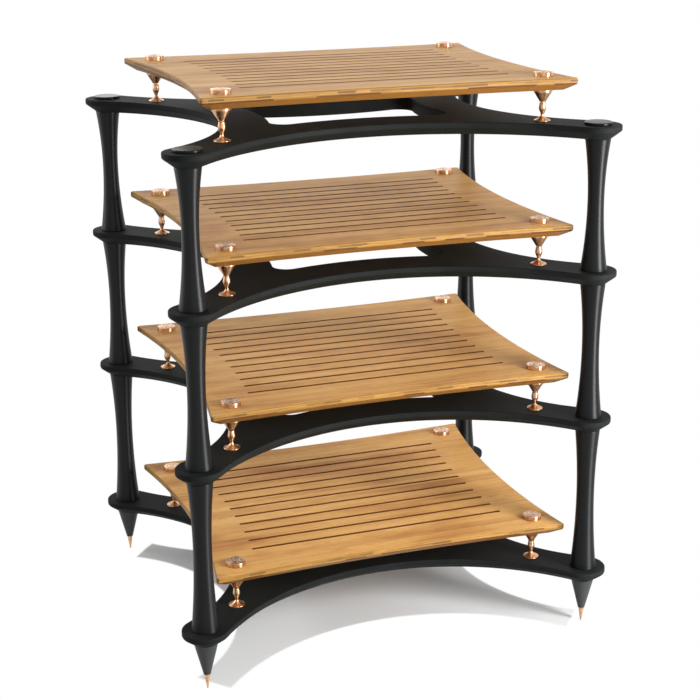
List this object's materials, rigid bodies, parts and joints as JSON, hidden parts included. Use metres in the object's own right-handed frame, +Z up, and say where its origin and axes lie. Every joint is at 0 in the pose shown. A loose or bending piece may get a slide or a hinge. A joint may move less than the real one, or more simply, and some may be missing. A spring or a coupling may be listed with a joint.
{
  "type": "audio equipment rack",
  "caption": "Open audio rack with dark X-shaped frames on waisted black columns, and slotted bamboo shelves held on polished bronze feet above floor spikes.",
  "frame": {"origin": "on the floor under the middle of the rack", "axes": "+X to the right, +Y to the back, +Z up"},
  "size_m": [0.696, 0.5766, 0.856],
  "materials": {
    "matt_charcoal": "matt charcoal lacquer on board",
    "satin_black": "satin black coat",
    "cone_grey": "satin grey-black coat",
    "rose_bronze": "polished rose bronze",
    "bamboo": "satin lacquered laminated bamboo"
  },
  "bodies": {
    "rack": {"frame_1": "matt_charcoal", "frame_2": "matt_charcoal", "frame_3": "matt_charcoal", "frame_4": "matt_charcoal", "column_1_front_left": "satin_black", "column_1_front_right": "satin_black", "column_1_back_right": "satin_black", "column_1_back_left": "satin_black", "column_2_front_left": "satin_black", "column_2_front_right": "satin_black", "column_2_back_right": "satin_black", "column_2_back_left": "satin_black", "column_3_front_left": "satin_black", "column_3_front_right": "satin_black", "column_3_back_right": "satin_black", "column_3_back_left": "satin_black", "foot_cone_front_left": "cone_grey", "foot_cone_front_right": "cone_grey", "foot_cone_back_right": "cone_grey", "foot_cone_back_left": "cone_grey", "pedestal_1_front_left": "rose_bronze", "pedestal_1_front_right": "rose_bronze", "pedestal_1_back_right": "rose_bronze", "pedestal_1_back_left": "rose_bronze", "pedestal_2_front_left": "rose_bronze", "pedestal_2_front_right": "rose_bronze", "pedestal_2_back_right": "rose_bronze", "pedestal_2_back_left": "rose_bronze", "pedestal_3_front_left": "rose_bronze", "pedestal_3_front_right": "rose_bronze", "pedestal_3_back_right": "rose_bronze", "pedestal_3_back_left": "rose_bronze", "pedestal_4_front_left": "rose_bronze", "pedestal_4_front_right": "rose_bronze", "pedestal_4_back_right": "rose_bronze", "pedestal_4_back_left": "rose_bronze"},
    "shelf_unit_1": {"shelf_1": "bamboo", "shelf_foot_1_front_left": "rose_bronze", "shelf_foot_1_front_right": "rose_bronze", "shelf_foot_1_back_right": "rose_bronze", "shelf_foot_1_back_left": "rose_bronze"},
    "shelf_unit_2": {"shelf_2": "bamboo", "shelf_foot_2_front_left": "rose_bronze", "shelf_foot_2_front_right": "rose_bronze", "shelf_foot_2_back_right": "rose_bronze", "shelf_foot_2_back_left": "rose_bronze"},
    "shelf_unit_3": {"shelf_3": "bamboo", "shelf_foot_3_front_left": "rose_bronze", "shelf_foot_3_front_right": "rose_bronze", "shelf_foot_3_back_right": "rose_bronze", "shelf_foot_3_back_left": "rose_bronze"},
    "shelf_unit_4": {"shelf_4": "bamboo", "shelf_foot_4_front_left": "rose_bronze", "shelf_foot_4_front_right": "rose_bronze", "shelf_foot_4_back_right": "rose_bronze", "shelf_foot_4_back_left": "rose_bronze"},
    "spike_front_left": {"floor_spike_front_left": "rose_bronze"},
    "spike_front_right": {"floor_spike_front_right": "rose_bronze"},
    "spike_back_right": {"floor_spike_back_right": "rose_bronze"},
    "spike_back_left": {"floor_spike_back_left": "rose_bronze"}
  },
  "joints": [
    {"name": "shelf_1_lift", "type": "slide", "parent": "rack", "child": "shelf_unit_1", "axis": [0, 0, 1], "range_m": [0, 0.1]},
    {"name": "shelf_2_lift", "type": "slide", "parent": "rack", "child": "shelf_unit_2", "axis": [0, 0, 1], "range_m": [0, 0.1]},
    {"name": "shelf_3_lift", "type": "slide", "parent": "rack", "child": "shelf_unit_3", "axis": [0, 0, 1], "range_m": [0, 0.1]},
    {"name": "shelf_4_lift", "type": "slide", "parent": "rack", "child": "shelf_unit_4", "axis": [0, 0, 1], "range_m": [0, 0.2]},
    {"name": "spike_front_left_level", "type": "slide", "parent": "rack", "child": "spike_front_left", "axis": [0, 0, -1], "range_m": [0, 0.01]},
    {"name": "spike_front_right_level", "type": "slide", "parent": "rack", "child": "spike_front_right", "axis": [0, 0, -1], "range_m": [0, 0.01]},
    {"name": "spike_back_right_level", "type": "slide", "parent": "rack", "child": "spike_back_right", "axis": [0, 0, -1], "range_m": [0, 0.01]},
    {"name": "spike_back_left_level", "type": "slide", "parent": "rack", "child": "spike_back_left", "axis": [0, 0, -1], "range_m": [0, 0.01]}
  ]
}
